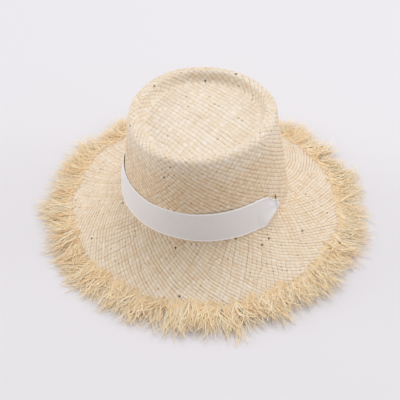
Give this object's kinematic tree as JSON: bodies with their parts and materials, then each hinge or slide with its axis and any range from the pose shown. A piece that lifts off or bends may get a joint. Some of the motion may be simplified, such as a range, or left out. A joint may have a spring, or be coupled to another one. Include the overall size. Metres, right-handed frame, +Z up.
{
  "type": "straw sun hat",
  "caption": "Wide-brimmed plaited raffia sun hat with a sunken crown tip, a frayed brim edge and a white ribbon round the front of the crown.",
  "frame": {"origin": "on the ground under the middle of the hat's brim and fringe", "axes": "+Z up through the crown; the wearer faces -Y; +X is the wearer's left"},
  "size_m": [0.3919, 0.392, 0.151],
  "materials": {
    "raffia_plait": "matt plaited raffia",
    "raffia_fringe": "frayed raffia strands",
    "grosgrain_ribbon": "white grosgrain, soft sheen",
    "cotton_band": "matt cotton twill",
    "woven_label": "blank woven tape",
    "sewing_thread": "cotton thread"
  },
  "bodies": {
    "root": {"straw_body": "raffia_plait", "fringe_right_lay": "raffia_fringe", "fringe_left_lay": "raffia_fringe", "edge_stitching": "sewing_thread", "ribbon_band": "grosgrain_ribbon", "ribbon_tack_left": "sewing_thread", "ribbon_tack_right": "sewing_thread", "sweatband": "cotton_band", "sweatband_stitching": "sewing_thread", "size_label": "woven_label", "label_stitches": "sewing_thread"}
  },
  "joints": []
}
